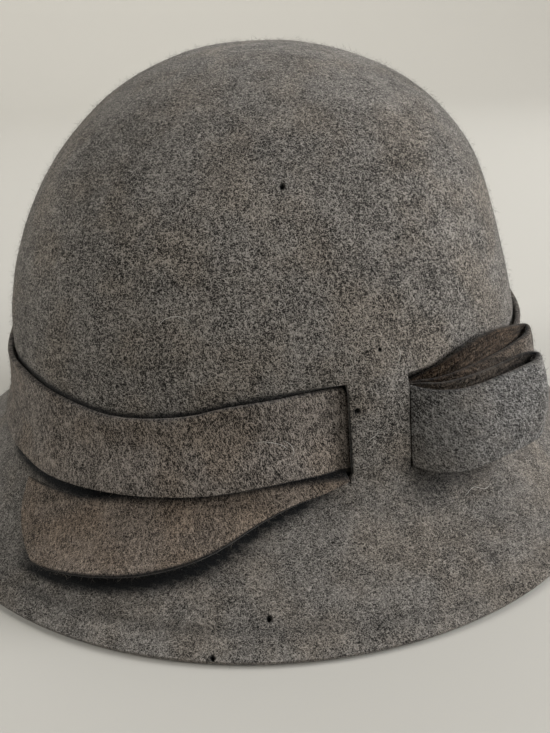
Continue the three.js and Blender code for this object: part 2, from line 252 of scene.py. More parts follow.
def felt_object(name, outside, inside, ring=False, is_open=None, pole=False, lay=None,
                marks=None):
    """outside, inside: rows x columns x 3, in millimetres. `ring` joins the last column to
    the first, `is_open` leaves cells out, `pole` closes the first row to a point. `lay` is
    rows x (columns + ring) x 2, the felt's own flat coordinates in metres."""
    rows, columns = outside.shape[:2]
    across = columns + 1
    i, j = np.meshgrid(np.arange(rows - 1), np.arange(columns if ring else columns - 1),
                       indexing="ij")
    solid = np.ones(i.shape, bool) if is_open is None else ~is_open(i, j)

    def code(layer, down, along):
        return (layer * rows + i + down) * across + j + along

    a, d, c, b = (code(0, *k) for k in ((0, 0), (1, 0), (1, 1), (0, 1)))
    a2, d2, c2, b2 = (code(1, *k) for k in ((0, 0), (1, 0), (1, 1), (0, 1)))
    edge = np.pad(solid, 1)
    if ring:
        edge[1:-1, 0], edge[1:-1, -1] = solid[:, -1], solid[:, 0]
    bare_left, bare_right = solid & ~edge[1:-1, :-2], solid & ~edge[1:-1, 2:]
    bare_top, bare_foot = solid & ~edge[:-2, 1:-1], solid & ~edge[2:, 1:-1]
    if pole:
        bare_top[0] = False
    parts = [(solid, (a, d, c, b)), (solid, (a2, b2, c2, d2)), (bare_left, (d, a, a2, d2)),
             (bare_foot, (c, d, d2, c2)), (bare_right, (b, c, c2, b2)),
             (bare_top, (a, b, b2, a2))]
    corners = np.concatenate([np.stack(four, -1)[keep] for keep, four in parts])
    row, column = corners // across, corners % across % columns
    if pole:
        column = np.where(row % rows == 0, 0, column)
    ids = row * columns + column
    used, ids = np.unique(ids, return_inverse=True)
    ids = ids.reshape(corners.shape)
    points = np.concatenate([outside.reshape(-1, 3), inside.reshape(-1, 3)])[used] * MM
    faces, codes = [], []
    for four, where in zip(ids.tolist(), corners.tolist()):
        keep = [k for k in range(4) if four[k] != four[k - 1]]
        faces.append([four[k] for k in keep])
        codes.extend(where[k] for k in keep)
    mesh = bpy.data.meshes.new(name)
    mesh.from_pydata(points.tolist(), [], faces)
    if lay is not None:
        flat = np.zeros((2, rows, across, 2))
        flat[:, :, :lay.shape[1]] = lay
        uv = mesh.uv_layers.new(name="lay")
        uv.data.foreach_set("uv", flat.reshape(-1, 2)[np.array(codes)].ravel())
    for mark, value in (marks or {}).items():
        values = np.broadcast_to(value, (2, rows, columns)).reshape(-1)[used]
        mesh.attributes.new(mark, "FLOAT", "POINT").data.foreach_set(
            "value", values.astype(np.float32))
    mesh.shade_smooth()
    mesh.set_sharp_from_angle(angle=SHARP_ANGLE)
    return in_scene(name, mesh)


# %% Small unevenness of steamed felt
def uneven(points, size, seed):
    """Smooth noise between about -1 and 1, with lumps of `size` millimetres."""
    flat = points.reshape(-1, 3) / size + seed
    values = [noise.noise(Vector(p)) for p in flat.tolist()]
    return np.array(values).reshape(points.shape[:-1])


# %% [markdown]
# ## Crown and brim
# One piece, about 2.5 mm thick. The grid is finer beside the slits, along the pressed line
# near the brim's edge and round each moth hole, so those can be real hollows in the mesh.
# Moths leave small ragged pits that go nearly through the felt.

# %% Where the grid is fine
MOTH_HOLES = [  # turn, drop, radius and depth in millimetres
    {"turn": -7.5, "drop": 54.0, "radius": 1.05, "depth": 1.9},
    {"turn": -15.2, "drop": 60.0, "radius": 0.85, "depth": 1.5},
    {"turn": 6.15, "drop": 5.6, "radius": 0.9, "depth": 1.8},
    {"turn": -1.0, "drop": -58.5, "radius": 0.95, "depth": 1.7},
    {"turn": 11.0, "drop": -12.0, "radius": 0.6, "depth": 1.2},
]
PRESSED_LINE = {
    "turn": [-180, -60, -19, -10, -1, 7.5, 22, 60, 180],
    "drop": [56, 55.6, 55.6, 56.1, 56.5, 56.8, 58.4, 57, 56],
}


def lines(even, close, apart):
    """`close` with as many of `even` as stay `apart` from all of it, in order."""
    close = np.array(sorted(close))
    kept = [v for v in even if np.abs(close - v).min() > apart]
    return np.unique(np.concatenate([kept, close]))


def mm_per_degree(turn, drop):
    return float(np.linalg.norm(blocked(turn + 0.5, drop) - blocked(turn - 0.5, drop)))


RINGS = np.array([-1.35, -1.0, -0.72, -0.4, 0, 0.4, 0.72, 1.0, 1.35])
SLIT_STEPS = np.array([SLIT_HALF, 0.31, 0.42, 0.62])
hole_turns = [hole["turn"] + ring * hole["radius"] / mm_per_degree(hole["turn"], hole["drop"])
              for hole in MOTH_HOLES for ring in RINGS]
slit_turns = [slit + side * step for slit in (LEFT_SLIT, RIGHT_SLIT)
              for side in (-1, 1) for step in SLIT_STEPS]
hole_turns = [t for t in hole_turns if np.abs(np.array(slit_turns) - t).min() > 0.08
              and abs(t - LEFT_SLIT) > 0.7]
TURNS = lines(np.arange(-180, 180, 1.65), hole_turns + slit_turns, 0.55)
TURNS = TURNS[(TURNS >= -180) & (TURNS < 180)]
girths = np.sin(np.linspace(0, np.pi / 2, 48))
crown_drops = -CROWN_RISE * (1 - girths**SHOULDER) ** (1 / DOME)
even_drops = np.concatenate([crown_drops[:-2], np.arange(-4, 29, 1.15),
                             np.arange(29, EDGE_DROP - 0.5, 1.0)])
hole_drops = [hole["drop"] + ring * hole["radius"] * 0.8
              for hole in MOTH_HOLES for ring in RINGS]
DROPS = lines(even_drops, hole_drops + [-CROWN_RISE, SLIT_TOP, SLIT_FOOT, EDGE_DROP], 0.4)
print("columns", len(TURNS), "rows", len(DROPS))

# %% Edges of the band and the tail, which lie over the crown and brim
BAND_EDGES = {  # millimetres that the band's edges lie above their even line
    "turn": [-180, -80, -62, -45, -33, -24, -16, -10, -3, 4.65, 5.15, 14, 24, 40, 180],
    "top": [0, 1, 3, 0, -2.6, -2.8, -1.9, 0, 1, 1, -1, -1, -0.5, 0, 0],
    "foot": [0, 0, 0, 0, -0.2, -0.5, -0.2, 0.6, 1.9, 1.4, 1.4, 1, 0, 0, 0],
}
TAIL = {  # its upper and its lower edge, from the cut end to the slit
    "place": list(range(9)),
    "up_turn": [-55, -45, -35, -27, -20, -12, -5, 1.5, 4.5],
    "up": [33.4, 32.7, 31, 25, 21.5, 21.5, 22, 24.4, 24.8],
    "low_turn": [-42, -39.5, -36, -30, -22.5, -14, -6, 1.5, 4.5],
    "low": [50.8, 50.9, 50.6, 49.6, 47.6, 43.5, 36.9, 31.2, 28.4],
    "up_off": [2.0, 1.6, 1.0, 0.5, 0.4, 0.4, 0.4, 0.8, 1.1],
    "low_off": [4.0, 4.5, 4.9, 5.0, 4.9, 4.3, 3.2, 1.6, 1.1],
}


def beyond(drop, edge, under, past):
    """1 beneath an edge that lies over the felt, fading `under` above it and `past` below."""
    return (smoothstep(drop, edge - under, edge - 0.5 * under)
            * (1 - smoothstep(drop, edge, edge + past)))


def under_band(turn, drop):
    """How much painted shade lies in the crease along the band's lower edge, wider beside the
    tail's cut end.
    """
    foot = BAND_HEIGHT - through(BAND_EDGES, "turn", "foot", turn)
    wider = 4 * smoothstep(turn, -88, -66) * (1 - smoothstep(turn, -42, -22))
    return beyond(drop, foot + 1.1 + wider, 8, 3) * ~in_bridge(turn)


def under_tail(turn, drop):
    """How much painted shadow the tail's lower edge casts on the brim."""
    low = through(TAIL, "low_turn", "low", turn)
    covered = smoothstep(turn, -50, -43) * (1 - smoothstep(turn, 0, 4.5))
    return beyond(drop, low + 1, 12, 2) * covered


# %% Slits, with rounded edges
SLIT_SHAPES = [  # half widths in degrees: at the top, lower down, and more at the foot; and how dark the rim is, the cut end's own darkness plus painted shade beside the slit
    {"turn": LEFT_SLIT, "narrow": 0.12, "wide": 0.24, "eye": 0.1, "dark": 0.95},
    {"turn": RIGHT_SLIT, "narrow": 0.07, "wide": 0.06, "eye": 0.0, "dark": 0.35},
]
ROUNDED = 0.7  # rounding of a cut edge, in millimetres
drops = DROPS[:, None] * np.ones(len(TURNS))
turns = TURNS[None, :] * np.ones((len(DROPS), 1))
shift = np.zeros_like(turns)
edge_round = np.zeros_like(turns)
in_slit = smoothstep(drops, SLIT_TOP, 0) * (1 - smoothstep(drops, 28, SLIT_FOOT))
cut_end_and_slit_shade = np.zeros_like(turns)
for shape in SLIT_SHAPES:
    slit_half = (lerp(shape["narrow"], shape["wide"], smoothstep(drops, SLIT_TOP, 20))
                 + shape["eye"] * np.exp(-((drops - 25.8) / 1.1) ** 2))
    slit_half *= 1 - 0.85 * smoothstep(drops, 26.4, 27.4)
    offset = turns - shape["turn"]
    near = np.abs(offset) < SLIT_STEPS[-1] + 1e-6
    fade = 1 - (np.abs(offset) - SLIT_HALF) / (SLIT_STEPS[-1] - SLIT_HALF)
    moved = np.sign(offset) * (slit_half - SLIT_HALF) * np.clip(fade, 0, 1)
    shift += np.where(near, moved, 0)
    inwards = (np.abs(offset + moved) - slit_half) * mm_per_degree(shape["turn"], 10)
    short = np.clip(1 - inwards / ROUNDED, 0, 1)
    edge_round += np.where(near, ROUNDED * (1 - np.sqrt(1 - short**2)) * in_slit, 0)
    # The rim beside each slit is darkened: the cut end's own darkness, and painted shade where
    # the gap under the bridge lies in shadow.
    rim = 1 - smoothstep(np.abs(offset), 0.27, lerp(0.36, 0.6, smoothstep(drops, 0, 20)))
    rim = rim * (1 - smoothstep(drops, 26.2, 27.4))
    cut_end_and_slit_shade = np.maximum(cut_end_and_slit_shade, shape["dark"] * rim * in_slit)
block_points = blocked(turns, drops)
off = relief(turns, drops) - edge_round

# %% Pressed line and moth holes
# From here one array gathers how dark each place is: 1 where the felt is bare, and painted
# shade as dark as that where no light gets in.
LINE_DEPTH, LINE_WIDTH = 0.65, 0.75
line_drop = through(PRESSED_LINE, "turn", "drop", turns)
line_depth = LINE_DEPTH * (0.65 + 0.35 * uneven(block_points, 14, 3.1))
in_line = np.exp(-((drops - line_drop) / LINE_WIDTH) ** 2)
off -= line_depth * in_line
# The pressed line is darker where it is deeper.
marks_and_painted_shade = 0.6 * in_line * (line_depth / LINE_DEPTH) ** 2
marks_and_painted_shade = np.maximum(marks_and_painted_shade, cut_end_and_slit_shade)
for hole in MOTH_HOLES:
    middle = blocked(hole["turn"], hole["drop"])
    across_it = block_points - middle
    gone = np.linalg.norm(across_it, axis=-1)
    bearing = np.arctan2(across_it[..., 2], across_it[..., 0])
    ragged = hole["radius"] * (1 + 0.16 * np.sin(2 * bearing + hole["turn"])
                               + 0.1 * np.sin(5 * bearing))
    off -= hole["depth"] * (1 - smoothstep(gone / ragged, 0.45, 1.05))
    # Painted shade darkens the inside of each pit.
    marks_and_painted_shade = np.maximum(marks_and_painted_shade, 1 - smoothstep(gone / ragged, 0.7, 1.35))

# %% Smudges, painted shade in the creases, and small unevenness
SEAM_DIP = 0.5
SMUDGES = [  # turn, drop, radius in millimetres, strength
    {"turn": -16.5, "drop": 55.4, "radius": 2.2, "strength": 0.45},
    {"turn": 15.4, "drop": 33.5, "radius": 1.6, "strength": 0.5},
    {"turn": -30.0, "drop": -20.0, "radius": 1.6, "strength": 0.4},
]
for smudge in SMUDGES:
    gone = np.linalg.norm(block_points - blocked(smudge["turn"], smudge["drop"]), axis=-1)
    soft = smudge["strength"] * (1 - smoothstep(gone / smudge["radius"], 0.2, 1.1))
    marks_and_painted_shade = np.maximum(marks_and_painted_shade, soft)
wrapped = (turns + 180) % 360 - 180
# Painted shade in the crease under the band's lower edge.
marks_and_painted_shade = np.maximum(marks_and_painted_shade, under_band(wrapped, drops))
# Painted shadow of the tail's lower edge on the brim.
marks_and_painted_shade = np.maximum(marks_and_painted_shade, under_tail(wrapped, drops))
# Painted shadow on the brim below the loops.
painted_loop_shadow = (smoothstep(drops, 22, 25) * (1 - smoothstep(drops, 34, 41))
               * smoothstep(wrapped, 11, 17) * (1 - smoothstep(wrapped, 29, 42)))
marks_and_painted_shade = np.maximum(marks_and_painted_shade, 0.6 * painted_loop_shadow)
calm = 1 - smoothstep(drops, 50, EDGE_DROP) * 0.9
near_trim = smoothstep(drops, -8, 2) * (1 - smoothstep(drops, 28, 44))
off += (0.45 * uneven(block_points, 34, 7.7) * (1 - near_trim)
        + 0.16 * uneven(block_points, 9, 1.3) * (1 - 0.7 * near_trim)) * calm
# Under the band the crown is drawn in a little, and the crease this leaves above the band is
# darkened with painted shade.
band_top = -through(BAND_EDGES, "turn", "top", wrapped)
off -= (SEAM_DIP * smoothstep(drops, band_top - 0.7, band_top + 0.6)
        * (1 - smoothstep(drops, 24, 27)) * ~in_bridge(turns))
marks_and_painted_shade = np.maximum(marks_and_painted_shade, 0.9 * beyond(drops, band_top + 1, 2.8, 3) * ~in_bridge(turns))
outside = placed(turns + shift, drops, off)
# The bridge is pinched thinner where it was cut.
PINCHED = 1.1
pinch = PINCHED * in_slit * in_bridge(turns) * (1 - smoothstep(
    BRIDGE_HALF - np.abs(turns - BRIDGE_MIDDLE), 0.3, 2.2))
inside = placed(turns + shift, drops, relief(turns, drops) - FELT + pinch)

# %% Cut edge of the brim
# Rounded outside, then the flat ring that the hat rests on, then rounded inside. Each pair is
# how far inwards of the outer corner, and how high.
EDGE = {
    "out": [(0.12, 1.2), (0.38, 0.5), (0.75, 0.12), (1.2, 0.0)],
    "in": [(3.35, 0.9), (3.2, 0.4), (2.95, 0.08), (2.6, 0.0)],
}
corner_row = outside[-1]
towards = outwards(TURNS, EDGE_DROP)
towards = unit(towards * (1, 1, 0))


def edge_row(inwards, height):
    row = corner_row - towards * inwards
    row[:, 2] = height
    return row


inside[-1] = edge_row(3.4, 1.5)
outside = np.concatenate([outside] + [edge_row(*p)[None] for p in EDGE["out"]])
inside = np.concatenate([inside] + [edge_row(*p)[None] for p in EDGE["in"]])
extra = len(EDGE["out"])

# %% Crown and brim
INSIDE_NAP = 0.12  # share of the outside's fibres
marks_and_painted_shade = np.pad(marks_and_painted_shade, ((0, extra), (0, 0)))
nap = np.stack([np.ones_like(marks_and_painted_shade) - 0.97 * marks_and_painted_shade, np.full_like(marks_and_painted_shade, INSIDE_NAP)])
nap[:, -extra:] = 0  # none below the edge that it rests on
nap[0, -extra - 2:-extra] *= 0.3
nap[1, -extra - 8:] = 0
marks_and_painted_shade = np.stack([marks_and_painted_shade, np.zeros_like(marks_and_painted_shade)])
first_slit_row = int(np.argmin(np.abs(DROPS - SLIT_TOP)))
last_slit_row = int(np.argmin(np.abs(DROPS - SLIT_FOOT)))
slit_columns = [int(np.argmin(np.abs(TURNS - (slit - SLIT_HALF))))
                for slit in (LEFT_SLIT, RIGHT_SLIT)]


def slit_cells(i, j):
    return (i >= first_slit_row) & (i < last_slit_row) & np.isin(j, slit_columns)


hat_body = felt_object("felt_body", outside, inside, ring=True, is_open=slit_cells,
                       pole=True, marks={"marks_and_painted_shade": marks_and_painted_shade, "nap": nap})

# %% [markdown]
# ## Strips of felt
# Band, tail and loops are cut with a knife from thinner felt. Each is a grid along the strip
# and across it, with a thickness that rounds off over the last half millimetre at its edges.
# The strips carry their own flat coordinates, so the slanting nap can follow them.

# %% Shared by the strips
EDGE_SHARE = 0.62  # of its thickness that a strip keeps at its very edge
EDGE_REACH = 0.62  # millimetres from the edge to its full thickness
# A cut edge's own darkness, and painted shade for lower edges that face the brim.
CUT_DARK, LOWER_CUT_PAINTED_SHADE = 0.3, 0.95


def steps_with_edges(count, length, ends=True, fine=(0, 0.12, 0.32, 0.62)):
    """Shares from 0 to 1, with extra ones close to both ends of a strip `length` mm long."""
    even = np.linspace(0, 1, count + 1)
    if not ends:
        return even
    close = np.array(fine) / length
    middle = even[(even > close[-1] * 1.4) & (even < 1 - close[-1] * 1.4)]
    return np.concatenate([close, middle, 1 - close[::-1]])


def rounded(from_edge):
    """Share of the thickness at `from_edge` millimetres from a cut edge."""
    short = np.clip(1 - from_edge / EDGE_REACH, 0, 1)
    return EDGE_SHARE + (1 - EDGE_SHARE) * np.sqrt(1 - short**2)


def cut_marks(from_edge, hollow, shaded=0.0, cut=CUT_DARK):
    """The knife's cut shows fibres end on, so it is darker than the face; `shaded` adds painted
    shade.
    """
    dark = np.maximum(cut * (1 - smoothstep(from_edge, 0.1, 0.55)), shaded)
    return {"marks_and_painted_shade": dark, "nap": 1.0, "hollow": hollow}


def cut_of(shares):
    """Edges that look down at the brim get painted shade; those that look up only the cut's own
    darkness.
    """
    return np.where(shares > 0.5, LOWER_CUT_PAINTED_SHADE, CUT_DARK)[:, None]


def lay_of(points, u_from=0.0):
    """Flat coordinates in metres: along the middle of the strip, and across it."""
    middle = points[points.shape[0] // 2]
    along = np.concatenate([[0], np.cumsum(np.linalg.norm(np.diff(middle, axis=0), axis=1))])
    across = np.linalg.norm(np.diff(points, axis=0), axis=2)
    across = np.concatenate([np.zeros((1, points.shape[1])), np.cumsum(across, axis=0)])
    return np.stack([np.broadcast_to(along, across.shape) + u_from, across], -1) * MM


# %% Band
# Its join is behind the bridge, so the columns begin there.
join = BRIDGE_MIDDLE
BAND_BEHIND = 0.7  # its thickness where it is squeezed behind the bridge
FOOT_FLARE, TOP_FLARE = 2.1, 0.35  # how far its edges spring away from the crown
band_turns = join + np.unique(np.concatenate([
    np.linspace(0, 360, 300), 360 + LEFT_SLIT - join + np.array([-1, -0.5, -0.25, 0, 0.25]),
    RIGHT_SLIT - join + np.array([-0.25, 0, 0.25, 0.5, 1])]))[:-1]
band_shares = steps_with_edges(14, BAND_HEIGHT)


def band_grid(thickness_share):
    at = (band_turns + 180) % 360 - 180
    top = -through(BAND_EDGES, "turn", "top", at)
    foot = BAND_HEIGHT - through(BAND_EDGES, "turn", "foot", at)
    drop = lerp(top, foot, band_shares[:, None])
    turn = np.broadcast_to(band_turns, drop.shape)
    wrapped = np.broadcast_to(at, drop.shape)
    over_tail = ((TRIM + 2 * GAP) * smoothstep(drop, 11, 20) * smoothstep(wrapped, -62, -42)
                 * (1 - smoothstep(wrapped, 0.5, 4.3)))
    from_edge = np.minimum(band_shares, 1 - band_shares)[:, None] * (foot - top)
    behind = smoothstep(wrapped, 4.9, 6.2) * (1 - smoothstep(wrapped, 18, 27))
    thickness = lerp(TRIM, BAND_BEHIND, behind)
    half = thickness / 2 * rounded(from_edge)
    middle = band_seat(wrapped, drop) + lerp(BAND_SEAT, 0.2, behind) + over_tail + thickness / 2
    flare = (FOOT_FLARE * smoothstep(drop, foot - 11, foot) + TOP_FLARE * (
        1 - smoothstep(drop, top, top + 5))) * smoothstep(np.abs(wrapped - 10), 6.5, 17)
    ripple = 0.16 * uneven(blocked(turn, drop), 14, 5.2) * (1 - in_bridge(wrapped))
    return placed(turn, drop, middle + flare + ripple + half * thickness_share)


band_out, band_in = band_grid(1), band_grid(-1)
band_ring = np.concatenate([band_out, band_out[:, :1]], axis=1)
hat_band = felt_object("felt_band", band_out, band_in, ring=True, lay=lay_of(band_ring),
                       marks=cut_marks(np.minimum(band_shares, 1 - band_shares)[:, None]
                                       * BAND_HEIGHT, 0.0, cut=cut_of(band_shares)))
band_length = float(lay_of(band_ring)[0, -1, 0])
print(f"band {BAND_HEIGHT} mm x {band_length / MM:.0f} mm")

# %% Tail
TAIL_END_BULGE = 2.5
TAIL_LENGTH, TAIL_WIDTH, TAIL_NARROW = 90, 20, 18  # about, to place what is near its edges
tail_along = steps_with_edges(110, TAIL_LENGTH)
tail_shares = steps_with_edges(18, TAIL_WIDTH)


def tail_grid(thickness_share):
    at = tail_along * (len(TAIL["place"]) - 1)
    row = {name: through(TAIL, "place", name, at) for name in TAIL if name != "place"}
    share = tail_shares[:, None]
    bow = TAIL_END_BULGE * 4 * share * (1 - share) * (1 - smoothstep(tail_along, 0, 0.25))
    turn = lerp(row["up_turn"], row["low_turn"], share) - bow
    drop = lerp(row["up"], row["low"], share)
    seat = relief(turn, drop) + lerp(row["up_off"], row["low_off"], share**2)
    width = row["low"] - row["up"] + 2
    from_edge = np.minimum(np.minimum(share, 1 - share) * width,
                           np.minimum(tail_along, 1 - tail_along) * TAIL_LENGTH)
    half = TRIM / 2 * rounded(from_edge)
    return placed(turn, drop, seat + TRIM / 2 + half * thickness_share), turn, drop


(tail_out, tail_turn, tail_drop), (tail_in, _, _) = tail_grid(1), tail_grid(-1)
tail_from_edge = np.minimum(np.minimum(tail_shares, 1 - tail_shares)[:, None] * TAIL_NARROW,
                            tail_along * TAIL_LENGTH)
# Where the tail passes under the band, the band's painted shade falls on it too.
tail = felt_object("felt_tail", tail_out, tail_in, lay=lay_of(tail_out),
                   marks=cut_marks(tail_from_edge, 0.0, under_band(tail_turn, tail_drop),
                                   cut_of(tail_shares)))

# %% Loops
FRONT_LOOP = {
    "place": list(range(15)),
    "turn": [15.85, 18.2, 22, 26, 31, 36, 40.5, 43.5, 42, 38, 32, 26, 21, 18.4, 15.95],
    "out": [1.9, 5.2, 9.6, 12.4, 14, 15.3, 16, 14.2, 11.2, 9.8, 8.9, 8.3, 6.7, 3.6, 0.9],
    "lift": [-1, -1.8, -2, -1.2, -0.3, 0, 0, 0, 0, 0, 0, 0, -0.3, -0.6, -0.8],
}
BACK_LOOP = {
    "place": list(range(15)),
    "turn": [16, 18, 20.4, 23.5, 28, 35, 43, 49.5, 53, 51, 46, 38, 30, 23.5, 16],
    "out": [0, 1.5, 3.5, 5.4, 6.0, 6.4, 6.8, 7.6, 6.2, 4.1, 3.8, 3.8, 3.8, 3.0, -1],
    "lift": [-0.8, -0.4, 0, 1, 1.6, 2, 1.8, 2, 2.5, 3.2, 5.5, 8, 7.5, 4.6, -0.6],
}
LOOP_BELLY = 0.16
TIP_PAINTED_SHADE, TIP_REACH = 0.95, 0.13  # painted shade inside the fold, and how far along
ROOT_LENGTH = 0.12
loop_along = np.linspace(0, 1, 150)
loop_shares = steps_with_edges(16, BAND_HEIGHT)


def loop_middle(table):
    at = loop_along * (len(table["place"]) - 1)
    row = {name: through(table, "place", name, at) for name in ("turn", "out", "lift")}
    share = loop_shares[:, None]
    drop = BAND_HEIGHT * share - row["lift"]
    turn = np.broadcast_to(row["turn"], drop.shape)
    out = row["out"] * (1 + LOOP_BELLY * 4 * share * (1 - share))
    return blocked(turn, drop) + unit(outwards(turn, drop) * (1, 1, 0)) * out[..., None]


def loop_object(name, table, front):
    middle = loop_middle(table)
    ahead_of = np.gradient(middle, axis=1)
    across_it = unit(np.cross(ahead_of, (0, 0, 1)))
    from_end = np.minimum(loop_along, 1 - loop_along)
    thickness = lerp(SQUEEZED, TRIM, smoothstep(from_end, 0, ROOT_LENGTH))
    from_edge = np.minimum(loop_shares, 1 - loop_shares)[:, None] * BAND_HEIGHT
    half = (thickness / 2 * rounded(from_edge))[..., None]
    # Only the outermost run keeps its rubbed, greyer face; what lies behind it is browner and
    # carries painted shade, darkest deep inside the fold.
    at_tip = np.exp(-((loop_along - 0.5) / TIP_REACH) ** 2)
    hollow = np.ones((2, 1, len(loop_along)))
    hollow[0, 0] = smoothstep(loop_along, 0.5, 0.56) if front else 1 - 0.7 * at_tip
    deep = np.zeros((2, 1, len(loop_along)))
    deep[1, 0] = TIP_PAINTED_SHADE * at_tip
    return middle, felt_object(name, middle + across_it * half, middle - across_it * half,
                               lay=lay_of(middle), marks=cut_marks(from_edge, hollow, deep))


front_middle, loop_front = loop_object("felt_loop_front", FRONT_LOOP, front=True)
back_middle, loop_back = loop_object("felt_loop_back", BACK_LOOP, front=False)

# %% [markdown]
# ## Writing node trees
# A felt finish is a lot of arithmetic on noise. One small class wraps a socket, so that sums
# are written as sums and each adds its Math node. Every other node comes from one method.

# %% Node tree helpers
HAIR_THIN = 700  # the higher, the thinner the hairs that noise draws


class Value:
    """A number that varies over a surface: a socket that can be used in sums."""

    def __init__(self, nodes, socket):
        self.nodes, self.socket = nodes, socket

    def _sum(self, operation, *values):
        return self.nodes.value("ShaderNodeMath", {"operation": operation},
                                dict(enumerate(values)))

    def __add__(self, other):
        return self._sum("ADD", self, other)

    __radd__ = __add__

    def __sub__(self, other):
        return self._sum("SUBTRACT", self, other)

    def __rsub__(self, other):
        return self._sum("SUBTRACT", other, self)

    def __mul__(self, other):
        return self._sum("MULTIPLY", self, other)

    __rmul__ = __mul__

    def limited(self):
        """Kept between 0 and 1."""
        return self.nodes.value("ShaderNodeClamp", {}, {"Value": self})

    def between(self, low, high):
        """0 below `low`, 1 above `high`, smooth between."""
        return self.nodes.value("ShaderNodeMapRange", {"interpolation_type": "SMOOTHSTEP"},
                                {"Value": self, "From Min": low, "From Max": high})


class Nodes:
    """The node tree of a finish or of a modifier."""

    def __init__(self, tree):
        self.tree = tree
        tree.nodes.clear()

    def node(self, kind, settings=None, values=None):
        made = self.tree.nodes.new(kind)
        for name, setting in (settings or {}).items():
            setattr(made, name, setting)
        for name, value in (values or {}).items():
            socket = made.inputs[name]
            if isinstance(value, Value):
                self.tree.links.new(value.socket, socket)
            else:
                socket.default_value = value
        return made

    def value(self, kind, settings=None, values=None, output=0):
        return Value(self, self.node(kind, settings, values).outputs[output])

    def mix(self, share, first, second, blend="MIX"):
        return self.value("ShaderNodeMix", {"data_type": "RGBA", "blend_type": blend},
                          {0: share, 6: first, 7: second}, output=2)

    def vector(self, operation, *values):
        return self.value("ShaderNodeVectorMath", {"operation": operation},
                          dict(enumerate(values)))

    def noise(self, where, size, detail=2.0, roughness=0.5, output=0):
        """Noise with lumps of about `size` millimetres, where `where` is in millimetres."""
        return self.value("ShaderNodeTexNoise", {}, {
            "Vector": where, "Scale": 1 / size, "Detail": detail, "Roughness": roughness},
            output=output)

    def hairs(self, where, size, stretch, turned):
        """Thin curved lines, mostly along X: where a slow noise crosses its middle value."""
        drawn = self.value("ShaderNodeMapping", {"vector_type": "TEXTURE"}, {
            "Vector": where, "Rotation": turned, "Scale": (stretch, 1, 1)})
        off = self.noise(drawn, size, detail=0.6) - 0.5
        return (1 - off * off * HAIR_THIN).limited()

    def streaks(self, where, length, thickness, turned):
        """Noise drawn out into fibres, along X before it is turned."""
        drawn = self.value("ShaderNodeMapping", {"vector_type": "TEXTURE"}, {
            "Vector": where, "Rotation": turned, "Scale": (length / thickness, 1, 1)})
        return self.noise(drawn, thickness, detail=1.0)


def new_finish(name):
    finish = bpy.data.materials.new(name)
    finish.use_nodes = True
    return finish, Nodes(finish.node_tree)


def grey(red, green, blue, times=1.0):
    return (red * times, green * times, blue * times, 1.0)


# %% [markdown]
# ## Heathered felt
# Grey felt like this is carded from wool of several shades: dark, mid and nearly white
# fibres lie in every direction. Close up it shows as specks about a millimetre across, with
# short streaks and thin curling hairs among them, over soft warmer and cooler clouds. The
# same noise drives the bump, so pale fibres stand a little proud. One attribute darkens bare
# felt, stains and cut ends, and also carries painted shade in the creases, under the trim's
# edges, in the moth pits and deep in the folds. Sheen stands for the finest nap.

# %% Felt finish
SPECK, FINE, CLOUD, PATCH, SWIRL = 0.9, 0.36, 26, 7, 5  # sizes in millimetres
SWIRL_REACH = (4.0, 4.0, 4.0)
FACE_SWIRL = (0.35, 0.35, 0.0)  # share of it on a strip, whose nap lies straighter
WEIGHTS = {"specks": 0.65, "fine": 2.1, "fibres": 0.9, "hairs": 0.6, "clouds": 0.34,
           "patches": 0.5}
MIDDLE = 0.4  # where the mean lies between the darkest and the lightest
DARKEST, LIGHTEST, PALEST = 0.1, 2.2, 3.0  # times a tone, the last for a few single fibres
BARE_AND_SHADED = (0.006, 0.007, 0.008)  # for felt whose nap has gone, and for painted shade where light hardly reaches
CROWN_LIVELY, BRIM_LIVELY, TIP_CALM = 0.4, 0.78, 0.4


